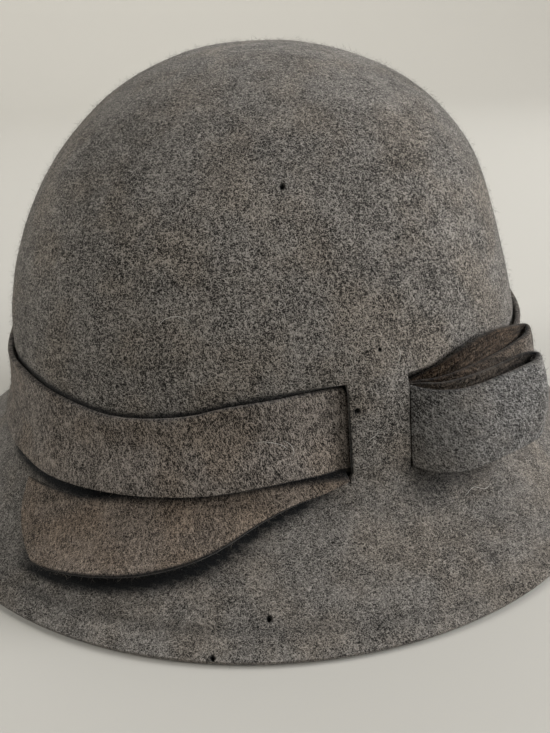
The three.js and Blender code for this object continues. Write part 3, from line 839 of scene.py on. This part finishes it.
def felt_finish(name, tone, warmth, contrast=1.0, slant=None, hollow=None):
    """tone: mean colour. warmth: how brown the warm clouds are. slant: degrees that the nap
    leans on the piece's own lay, or None where it has no direction. hollow: the browner colour
    that the colour is multiplied by where the attribute `hollow` is 1, among the folds, with
    painted shade that makes it much darker there."""
    finish, n = new_finish(name)
    metres = n.value("ShaderNodeTexCoord", output=3)
    place = n.vector("SCALE", metres)
    place.socket.node.inputs["Scale"].default_value = 1 / MM
    swirl = n.vector("SUBTRACT", n.noise(place, SWIRL, output=1), (0.5, 0.5, 0.5))
    swirl = n.vector("MULTIPLY", swirl, SWIRL_REACH)
    bent = n.vector("ADD", place, swirl)
    specks = n.noise(place, SPECK, detail=2.0, roughness=0.6)
    fine = n.noise(place, FINE, detail=1.0)
    # Streaks: where, length, thickness, turn. Hairs: where, size, stretch, turn.
    if slant is None:
        streaked_on = [(bent, 3.0, 0.3, (0, 0, 0.4)), (bent, 3.0, 0.3, (0.3, 1.2, 0.2)),
                       (bent, 3.0, 0.3, (0, 0.2, 2.0))]
        hairs_on = [(bent, 1.7, 3.4, (0.2, 0.3, 0.5)), (place, 1.5, 3, (0.4, 1.3, 0)),
                    (bent, 2.0, 3.4, (0.1, 0.2, 2.1))]
    else:
        flat = n.vector("SCALE", n.value("ShaderNodeUVMap", {"uv_map": "lay"}))
        flat.socket.node.inputs["Scale"].default_value = 1 / MM
        flat = n.vector("ADD", flat, n.vector("MULTIPLY", swirl, FACE_SWIRL))
        lean = math.radians(slant)
        streaked_on = [(flat, 3.2, 0.34, (0, 0, lean)), (flat, 2.4, 0.36, (0, 0, lean + 0.45)),
                       (bent, 2.6, 0.3, (0.3, 1.2, 0.2))]
        hairs_on = [(flat, 1.8, 3, (0, 0, lean)), (flat, 1.6, 3, (0, 0, lean + 1)),
                    (place, 1.8, 3, (0.3, 1.2, 0.2))]
    drawn = [n.streaks(*row) for row in streaked_on]
    fibres = drawn[0] + drawn[1] + drawn[2]
    loose = [n.hairs(*row) for row in hairs_on]
    hairs = (loose[0] + loose[1] + loose[2]) * (specks - 0.1)
    clouds = n.noise(place, CLOUD, detail=3.0)
    patches = n.noise(place, PATCH, detail=2.0)
    # The crown's sides are the liveliest; the brim and the tip of the crown are rubbed calm.
    up = n.value("ShaderNodeSeparateXYZ", {}, {"Vector": place}, output=2)
    lively = (BRIM_LIVELY + up.between(18, 48) * CROWN_LIVELY
              - up.between(100, 150) * TIP_CALM) * contrast
    grain = ((specks - 0.5) * WEIGHTS["specks"] + (fine - 0.5) * WEIGHTS["fine"]
             + (fibres - 1.5) * WEIGHTS["fibres"] + (hairs - 0.2) * WEIGHTS["hairs"])
    shade = (MIDDLE + grain * lively + (clouds - 0.5) * WEIGHTS["clouds"]
             + (patches - 0.5) * WEIGHTS["patches"]).limited()
    colour = n.mix(shade, grey(*tone, DARKEST), grey(*tone, LIGHTEST))
    warm = n.noise(place, 19, detail=2.0).between(0.42, 0.68) * 0.42
    colour = n.mix(warm, colour, grey(*warmth), blend="MULTIPLY")
    pale = drawn[1].between(0.66, 0.74) * 0.3
    colour = n.mix(pale, colour, grey(*tone, PALEST))
    # Among the folds: browner felt, and painted shade that darkens it.
    if hollow is not None:
        inner = n.value("ShaderNodeAttribute", {"attribute_name": "hollow"}, output=2)
        combed = n.streaks(flat, 14, 0.9, (0, 0, 0.04)).between(0.36, 0.62)
        streaked = n.mix(combed, grey(*hollow, 0.28), grey(*hollow, 0.85))
        colour = n.mix(inner, colour, streaked, blend="MULTIPLY")
    # Mixed towards near black: bare felt and stains, and painted shade in creases, pits and
    # folds.
    marks_and_shade_amount = n.value("ShaderNodeAttribute", {"attribute_name": "marks_and_painted_shade"}, output=2)
    colour = n.mix(marks_and_shade_amount * 0.97, colour, grey(*BARE_AND_SHADED))
    height = specks * 0.45 + fine * 0.22 + fibres * 0.2 + hairs * 0.25
    bump = n.value("ShaderNodeBump", {}, {
        "Strength": 0.75, "Distance": 0.45 * MM, "Height": height})
    shader = n.value("ShaderNodeBsdfPrincipled", {}, {
        "Base Color": colour, "Roughness": 1 - patches * 0.12, "Normal": bump,
        "Specular IOR Level": 0.06, "Sheen Weight": 0.1, "Sheen Roughness": 0.45,
        "Sheen Tint": (0.9, 0.88, 0.85, 1)})
    n.node("ShaderNodeOutputMaterial", {}, {"Surface": shader})
    return finish


FELTS = {
    "hat_felt": {"tone": (0.122, 0.113, 0.103), "warmth": (1.0, 0.9, 0.78)},
    "band_felt": {"tone": (0.118, 0.104, 0.092), "warmth": (1.0, 0.88, 0.74), "slant": 62},
    "tail_felt": {"tone": (0.124, 0.102, 0.084), "warmth": (1.0, 0.88, 0.74), "slant": 62},
    "front_loop_felt": {"tone": (0.124, 0.12, 0.116), "warmth": (1.0, 0.9, 0.78),
                        "contrast": 0.82, "slant": 20, "hollow": (0.56, 0.47, 0.39)},
    "back_loop_felt": {"tone": (0.1, 0.088, 0.077), "warmth": (1.0, 0.88, 0.74),
                       "slant": 10, "hollow": (0.58, 0.48, 0.4)},
}
FINISHES = {name: felt_finish(name, **felt) for name, felt in FELTS.items()}
PIECES = [  # each piece, the solid it stands for, and its finish and slot
    (hat_body, "hat_body", "hat_felt"), (hat_band, "hat_band", "band_felt"),
    (tail, "tail", "tail_felt"), (loop_front, "loop_front", "front_loop_felt"),
    (loop_back, "loop_back", "back_loop_felt"),
]
for piece, _, slot in PIECES:
    piece.data.materials.append(FINISHES[slot])
print("finishes:", sorted(FINISHES))

# %% [markdown]
# ## Nap
# Against the light a felt hat has a soft outline, because loose fibres stand off it. Hair
# particles would be lost in the export, so Geometry Nodes scatters real slivers: a six-sided
# spindle with a bend, pointed at both ends, in a random direction close to the surface.

# %% Nap tree
NAP_INPUTS = [("Fibres per square metre", 3e5), ("Length", 1.7 * MM), ("Thickness", 0.05 * MM),
              ("Least lean", 0.9), ("Most lean", 1.45)]
NAP_BEND = 0.22  # of half its length, that a fibre's middle stands off its straight line
NAP_LIFT = 0.92  # so a fibre grows from its root, a little sunk in the felt
NAP_SCALES = 0.45, 1.25  # of its size, for the smallest and the largest fibre


def nap_tree(name, finish, seed):
    tree = bpy.data.node_groups.new(name, "GeometryNodeTree")
    tree.interface.new_socket("Geometry", in_out="INPUT", socket_type="NodeSocketGeometry")
    for title, default in NAP_INPUTS:
        socket = tree.interface.new_socket(title, in_out="INPUT", socket_type="NodeSocketFloat")
        socket.default_value = default
    tree.interface.new_socket("Geometry", in_out="OUTPUT", socket_type="NodeSocketGeometry")
    n = Nodes(tree)
    given = n.node("NodeGroupInput")
    inputs = {title: Value(n, given.outputs[title]) for title, _ in NAP_INPUTS}
    nap_share = n.value("GeometryNodeInputNamedAttribute", {"data_type": "FLOAT"},
                        {"Name": "nap"})
    scatter = n.node("GeometryNodeDistributePointsOnFaces", {"distribute_method": "RANDOM"}, {
        "Mesh": Value(n, given.outputs["Geometry"]),
        "Density": nap_share * inputs["Fibres per square metre"], "Seed": seed})
    spindle = n.node("GeometryNodeMeshUVSphere", {}, {"Segments": 3, "Rings": 2, "Radius": 1.0})
    where = n.node("ShaderNodeSeparateXYZ", {}, {
        "Vector": n.value("GeometryNodeInputPosition")})
    x, y, z = (Value(n, where.outputs[k]) for k in range(3))
    bend = (1 - z * z) * NAP_BEND
    slim = inputs["Thickness"] * 0.5
    half = inputs["Length"] * 0.5
    shaped = n.value("ShaderNodeCombineXYZ", {}, {
        "X": x * slim + bend * half, "Y": y * slim, "Z": (z + NAP_LIFT) * half})
    fibre = n.value("GeometryNodeSetPosition", {}, {
        "Geometry": Value(n, spindle.outputs["Mesh"]), "Position": shaped})

    def random(low, high, draw):
        return n.value("FunctionNodeRandomValue", {"data_type": "FLOAT"},
                       {2: low, 3: high, "Seed": seed + draw}, output=1)

    lean = random(inputs["Least lean"], inputs["Most lean"], 1)
    heading = random(0.0, 2 * math.pi, 2)
    spin = random(0.0, 2 * math.pi, 3)
    size = random(*NAP_SCALES, 4)
    shade = random(0.0, 1.0, 5)
    turned = Value(n, scatter.outputs["Rotation"])
    for axis, angle in (("Z", heading), ("X", lean), ("Z", spin)):
        step = n.value("ShaderNodeCombineXYZ", {}, {axis: angle})
        step = n.value("FunctionNodeEulerToRotation", {}, {0: step})
        turned = n.value("FunctionNodeRotateRotation", {"rotation_space": "LOCAL"},
                         {0: turned, 1: step})
    placed_fibres = n.value("GeometryNodeInstanceOnPoints", {}, {
        "Points": Value(n, scatter.outputs["Points"]), "Instance": fibre,
        "Rotation": turned, "Scale": size})
    shaded = n.value("GeometryNodeStoreNamedAttribute",
                     {"data_type": "FLOAT", "domain": "INSTANCE"},
                     {"Geometry": placed_fibres, "Name": "shade", "Value": shade})
    real = n.value("GeometryNodeRealizeInstances", {}, {"Geometry": shaded})
    finished = n.value("GeometryNodeSetMaterial", {}, {"Geometry": real, "Material": finish})
    n.node("NodeGroupOutput", {}, {"Geometry": finished})
    return tree


def nap_object(name, base, finish, seed, **sizes):
    """The fibres on `base`, as a plain mesh of their own."""
    tree = nap_tree(name, finish, seed)
    modifier = base.modifiers.new("nap", "NODES")
    modifier.node_group = tree
    for item in tree.interface.items_tree:
        if item.in_out == "INPUT" and item.name in sizes:
            modifier[item.identifier] = float(sizes[item.name])
    evaluated = base.evaluated_get(bpy.context.evaluated_depsgraph_get())
    mesh = bpy.data.meshes.new_from_object(evaluated)
    base.modifiers.remove(modifier)
    return in_scene(name, mesh)


# %% Nap finish
def nap_finish(name, dark, light):
    finish, n = new_finish(name)
    shade = n.value("ShaderNodeAttribute", {"attribute_name": "shade"}, output=2)
    colour = n.mix(shade * shade, grey(*dark), grey(*light))
    shader = n.value("ShaderNodeBsdfPrincipled", {}, {
        "Base Color": colour, "Roughness": 0.8, "Specular IOR Level": 0.2})
    n.node("ShaderNodeOutputMaterial", {}, {"Surface": shader})
    return finish


GREY_NAP = nap_finish("grey_nap", (0.05, 0.046, 0.042), (0.3, 0.285, 0.262))
BROWN_NAP = nap_finish("brown_nap", (0.045, 0.038, 0.032), (0.28, 0.25, 0.215))
NAPS = [  # finish, slot, seed, fibres per square metre, and what differs from NAP_INPUTS
    ("nap_body_short", hat_body, GREY_NAP, "hat_felt", 11, 2.1e5, {}),
    ("nap_body_long", hat_body, GREY_NAP, "hat_felt", 67, 1.3e5,
     {"Length": 3.2 * MM, "Thickness": 0.045 * MM, "Least lean": 0.75}),
    ("nap_band", hat_band, BROWN_NAP, "band_felt", 23, 3.2e5, {"Length": 1.8 * MM}),
    ("nap_tail", tail, BROWN_NAP, "tail_felt", 37, 8e5, {"Length": 2.1 * MM}),
    ("nap_loop_front", loop_front, GREY_NAP, "front_loop_felt", 41, 8e5,
     {"Length": 2.1 * MM}),
    ("nap_loop_back", loop_back, BROWN_NAP, "back_loop_felt", 53, 8e5,
     {"Length": 2.1 * MM}),
]
naps = [(nap_object(name, base, finish, seed,
                    **{"Fibres per square metre": density, **sizes}), slot)
        for name, base, finish, slot, seed, density, sizes in NAPS]

# %% [markdown]
# ## Lint
# A few single hairs have settled on the felt: pale ones, and a dark one on the brim. Each is
# a closed four-sided thread along a short smooth path over the surface.

# %% Lint
HAIR_RADIUS = 0.07
PALE_HAIRS = [  # turn, drop and height off the block, along each hair
    [(7.2, 16.5, 3.5), (7.9, 14.8, 4.2), (8.9, 13.6, 4.3), (9.4, 12.0, 3.5)],
    [(13.2, -6.0, 2.2), (13.8, -8.2, 3.2), (14.1, -10.5, 3.4), (14.0, -12.6, 2.0)],
    [(-1.6, 15.0, 2.6), (-2.6, 12.6, 3.2), (-4.6, 11.0, 3.4), (-6.0, 11.4, 2.6)],
    [(-2.2, 18.5, 2.8), (-1.2, 16.0, 3.4), (-1.4, 13.2, 3.4), (-2.2, 11.5, 2.8)],
    [(-21.0, -25.0, 0.2), (-19.4, -27.0, 0.9), (-17.0, -27.4, 0.9), (-15.0, -26.0, 0.2)],
    [(24.0, 40.0, 0.4), (26.5, 39.0, 1.0), (28.5, 40.4, 1.0), (31.0, 40.2, 0.4)],
]
DARK_HAIRS = [
    [(-9.5, 40.0, 0.2), (-7.0, 43.0, 0.7), (-5.4, 46.5, 0.7), (-4.6, 50.0, 0.2)],
    [(20.5, 47.0, 0.1), (23.5, 46.6, 0.5), (26.5, 48.2, 0.5), (29.5, 48.0, 0.1)],
]


def lint_object(name, hairs, finish):
    points, faces = [], []
    for hair in hairs:
        table = dict(zip(("turn", "drop", "off"), zip(*hair)), place=range(len(hair)))
        at = np.linspace(0, len(hair) - 1, 25)
        turn, drop, off = (through(table, "place", key, at) for key in ("turn", "drop", "off"))
        path = placed(turn, drop, off)
        ahead_of = unit(np.gradient(path, axis=0))
        side = unit(np.cross(ahead_of, outwards(turn, drop)))
        above = np.cross(side, ahead_of)
        slim = HAIR_RADIUS * np.sqrt(np.clip(1.02 - (2 * at / at[-1] - 1) ** 2, 0, 1))[:, None]
        first, last = len(points), len(points) + 4 * (len(at) - 1)
        for ring in zip(*(path + k * slim for k in (side, above, -side, -above))):
            points.extend(ring)
        faces += [(a + k, a + (k + 1) % 4, a + 4 + (k + 1) % 4, a + 4 + k)
                  for a in range(first, last, 4) for k in range(4)]
        faces += [tuple(first + k for k in (3, 2, 1, 0)), tuple(last + k for k in range(4))]
    mesh = bpy.data.meshes.new(name)
    mesh.from_pydata((np.array(points) * MM).tolist(), [], faces)
    mesh.materials.append(finish)
    return in_scene(name, mesh)


PALE_LINT = nap_finish("pale_lint", (0.42, 0.41, 0.38), (0.42, 0.41, 0.38))
DARK_LINT = nap_finish("dark_lint", (0.02, 0.018, 0.016), (0.02, 0.018, 0.016))
naps += [(lint_object("lint_pale", PALE_HAIRS, PALE_LINT), "hat_felt"),
         (lint_object("lint_dark", DARK_HAIRS, DARK_LINT), "hat_felt")]

# %% [markdown]
# ## Floor and light
# A pale round floor that sweeps up into a wall, and soft light from large lamps. Most of it
# comes from a window on the right, so the crown's left side and the creases stay dark.

# %% Floor
def round_sweep(name, radius, bend, height, sides=72):
    """A round floor whose rim bends up into a wall, so every view has the same backdrop."""
    turns = np.linspace(0, math.pi / 2, 17)
    profile = [(radius - bend + bend * math.sin(a), bend - bend * math.cos(a)) for a in turns]
    profile.append((radius, height))
    headings = 2 * math.pi * np.arange(sides) / sides
    points = [(0.0, 0.0, 0.0)] + [(r * math.cos(h), r * math.sin(h), z)
                                  for r, z in profile for h in headings]
    faces = [(0, 1 + k, 1 + (k + 1) % sides) for k in range(sides)]
    for ring in range(len(profile) - 1):
        low, high = 1 + ring * sides, 1 + (ring + 1) * sides
        faces += [(low + k, high + k, high + (k + 1) % sides, low + (k + 1) % sides)
                  for k in range(sides)]
    mesh = bpy.data.meshes.new(name)
    mesh.from_pydata(points, [], faces)
    mesh.shade_smooth()
    return in_scene(name, mesh)


floor = round_sweep("floor", radius=3.1, bend=1.4, height=2.6)
paper, n = new_finish("floor_paper")
n.node("ShaderNodeOutputMaterial", {}, {"Surface": n.value("ShaderNodeBsdfPrincipled", {}, {
    "Base Color": grey(0.44, 0.425, 0.39), "Roughness": 0.9})})
floor.data.materials.append(paper)
floor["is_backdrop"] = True

# %% Light
AIM = (0, 0, 0.07)  # the middle of the crown
NEUTRAL = (1.0, 0.985, 0.95)
LAMPS = [  # metres and watts
    {"name": "window", "at": (2.0, -0.1, 1.15), "size": (0.9, 0.9), "watts": 37,
     "colour": (0.97, 0.98, 1.0)},
    {"name": "window_low", "at": (1.8, -0.9, 0.8), "size": (0.9, 0.9), "watts": 29,
     "colour": (0.99, 0.985, 0.98)},
    {"name": "ceiling", "at": (0.3, 0.55, 1.7), "size": (0.7, 0.7), "watts": 8},
    {"name": "room", "at": (0.9, -2.0, 0.8), "size": (0.9, 0.9), "watts": 8,
     "colour": (1.0, 0.985, 0.96)},
    {"name": "left", "at": (-1.9, 0.1, 1.2), "size": (0.9, 0.9), "watts": 25},
    {"name": "backdrop", "at": (0, 1.9, 2.1), "aim": (0, 2.7, 0), "size": (3.0, 1.2),
     "watts": 40, "colour": (1.0, 0.98, 0.94)},
]
for lamp in LAMPS:
    data = bpy.data.lights.new(lamp["name"], "AREA")
    data.shape = "RECTANGLE"
    data.size, data.size_y = lamp["size"]
    data.energy = lamp["watts"]
    data.color = lamp.get("colour", NEUTRAL)
    shining = Vector(lamp.get("aim", AIM)) - Vector(lamp["at"])
    made = bpy.data.objects.new(lamp["name"], data)
    made.location = lamp["at"]
    made.rotation_euler = shining.to_track_quat("-Z", "Y").to_euler()
    bpy.context.collection.objects.link(made)
world = bpy.data.worlds.new("room_light")
world.use_nodes = True
w = Nodes(world.node_tree)
w.node("ShaderNodeOutputWorld", {}, {"Surface": w.value(
    "ShaderNodeBackground", {}, {"Color": (0.78, 0.9, 1.0, 1), "Strength": 0.06})})
bpy.context.scene.world = world
bpy.context.scene.view_settings.view_transform = "Standard"
print("lamps:", len(bpy.data.lights))

# %% [markdown]
# ## Pieces on the body
# Every piece rides on the one body, and the felt pieces stand for their solids in the imported
# model. No cut size is known for the strips, so it is measured along and across each finished
# strip.

# %% Ride and replace
for piece, node, slot in PIECES:
    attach(piece, "root")
    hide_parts(node)
for piece, slot in naps:
    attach(piece, "root")


def cut_size(points):
    flat = lay_of(points)
    across, along = flat[-1, :, 1].mean(), flat[0, -1, 0]
    print(f"  cut {across / MM:.0f} x {along / MM:.0f} mm")
    return float(across), float(along)


def surface_of(points):
    a, b = points[1:, :-1] - points[:-1, :-1], points[:-1, 1:] - points[:-1, :-1]
    return float(np.linalg.norm(np.cross(a, b), axis=-1).sum()) * MM * MM


cut_size(band_ring)
tail_length = cut_size(tail_out)[1]
tail_width = float(lay_of(tail_out)[-1, :, 1].max())
min(surface_of(tail_out), tail_width * tail_length)
cut_size(front_middle)
cut_size(back_middle)

# %% Sizes, and finish
low, high = (list(corner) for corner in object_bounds())
grown = [a - b for a, b in zip(cad_low + high, low + cad_high)]
print("grown by mm:", [round(v / MM, 1) for v in grown])
